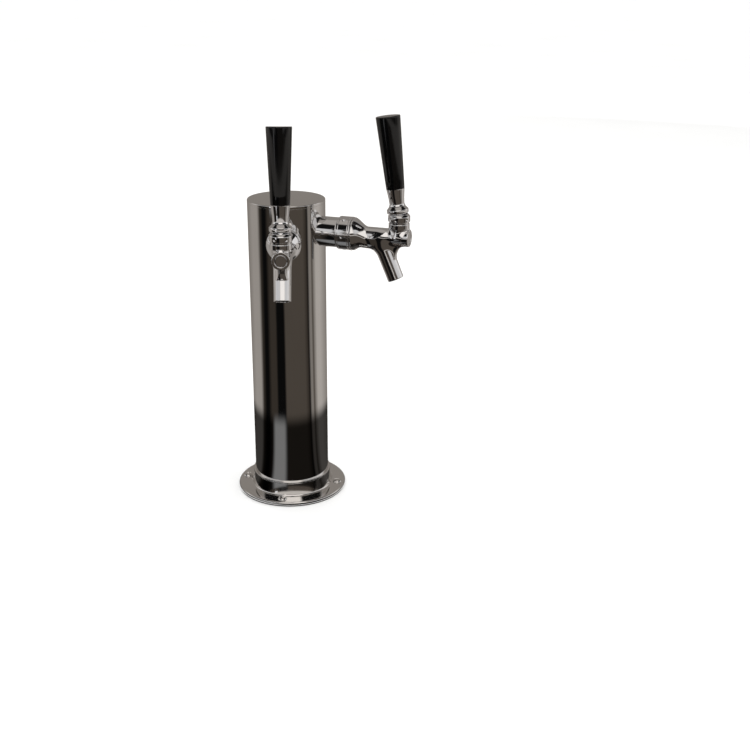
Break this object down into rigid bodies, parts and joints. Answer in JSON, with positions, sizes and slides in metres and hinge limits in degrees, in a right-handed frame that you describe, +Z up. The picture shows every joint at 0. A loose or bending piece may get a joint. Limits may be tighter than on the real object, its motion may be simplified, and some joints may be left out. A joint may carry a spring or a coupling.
{
  "type": "beer tap tower",
  "caption": "Counter-top column on a screwed round flange, with faucets fanned to the front, each with a tilting tapered handle that slides a valve shaft.",
  "frame": {"origin": "centre of the ring of deck screws, in the plane of the base gasket's underside, on the counter top", "axes": "+Z up along the column; -Y is the front, midway between the faucets; the right faucet is toward +X"},
  "size_m": [0.1564, 0.1632, 0.4098],
  "materials": {
    "polished_tube": "mirror polish",
    "polished_flange": "mirror polish",
    "faucet_chrome": "bright chrome plate",
    "screw_steel": "bright",
    "stainless": "turned",
    "brass_nut": "turned",
    "black_handle": "high gloss",
    "black_rubber": "matte",
    "white_nylon": "moulded",
    "friction_fibre": "matte",
    "foam": "closed-cell foam"
  },
  "bodies": {
    "tower": {"base_gasket": "black_rubber", "base_flange": "polished_flange", "mounting_screws": "screw_steel", "column_tube": "polished_tube", "insulation_liner": "foam", "shank_sleeve_left": "faucet_chrome", "shank_left": "stainless", "coupling_nut_left": "faucet_chrome", "coupling_gasket_left": "black_rubber", "backing_washer_left": "stainless", "shank_locknut_left": "stainless", "tail_washer_left": "black_rubber", "tail_nut_left": "stainless", "tail_elbow_left": "stainless", "faucet_body_left": "faucet_chrome", "friction_washer_left": "friction_fibre", "ball_washer_left": "white_nylon", "bonnet_left": "faucet_chrome", "shank_sleeve_right": "faucet_chrome", "shank_right": "stainless", "coupling_nut_right": "faucet_chrome", "coupling_gasket_right": "black_rubber", "backing_washer_right": "stainless", "shank_locknut_right": "stainless", "tail_washer_right": "black_rubber", "tail_nut_right": "stainless", "tail_elbow_right": "stainless", "faucet_body_right": "faucet_chrome", "friction_washer_right": "friction_fibre", "ball_washer_right": "white_nylon", "bonnet_right": "faucet_chrome"},
    "handle_left": {"lever_left": "faucet_chrome", "lever_collar_left": "faucet_chrome", "handle_ferrule_left": "faucet_chrome", "handle_grip_left": "black_handle"},
    "valve_left": {"valve_shaft_left": "faucet_chrome", "seat_washer_left": "black_rubber", "seat_nut_left": "brass_nut"},
    "handle_right": {"lever_right": "faucet_chrome", "lever_collar_right": "faucet_chrome", "handle_ferrule_right": "faucet_chrome", "handle_grip_right": "black_handle"},
    "valve_right": {"valve_shaft_right": "faucet_chrome", "seat_washer_right": "black_rubber", "seat_nut_right": "brass_nut"},
    "cap": {"top_cap": "polished_tube", "cap_oring": "black_rubber"}
  },
  "joints": [
    {"name": "pull_left", "type": "hinge", "parent": "tower", "child": "handle_left", "pos_m": [-0.06573, -0.09388, 0.29], "axis": [0.8192, -0.5736, 0], "range_deg": [0, 28]},
    {"name": "valve_travel_left", "type": "slide", "parent": "tower", "child": "valve_left", "axis": [0.5736, 0.8192, 0], "range_m": [0, 0.0065]},
    {"name": "pull_right", "type": "hinge", "parent": "tower", "child": "handle_right", "pos_m": [0.06573, -0.09388, 0.29], "axis": [0.8192, 0.5736, 0], "range_deg": [0, 28]},
    {"name": "valve_travel_right", "type": "slide", "parent": "tower", "child": "valve_right", "axis": [-0.5736, 0.8192, 0], "range_m": [0, 0.0065]},
    {"name": "cap_lift", "type": "slide", "parent": "tower", "child": "cap", "axis": [0, 0, 1], "range_m": [0, 0.03]}
  ],
  "couplings": [
    {"joint": "valve_travel_left", "follows": "pull_left", "m_per_rad": 0.012775},
    {"joint": "valve_travel_right", "follows": "pull_right", "m_per_rad": 0.012775}
  ]
}
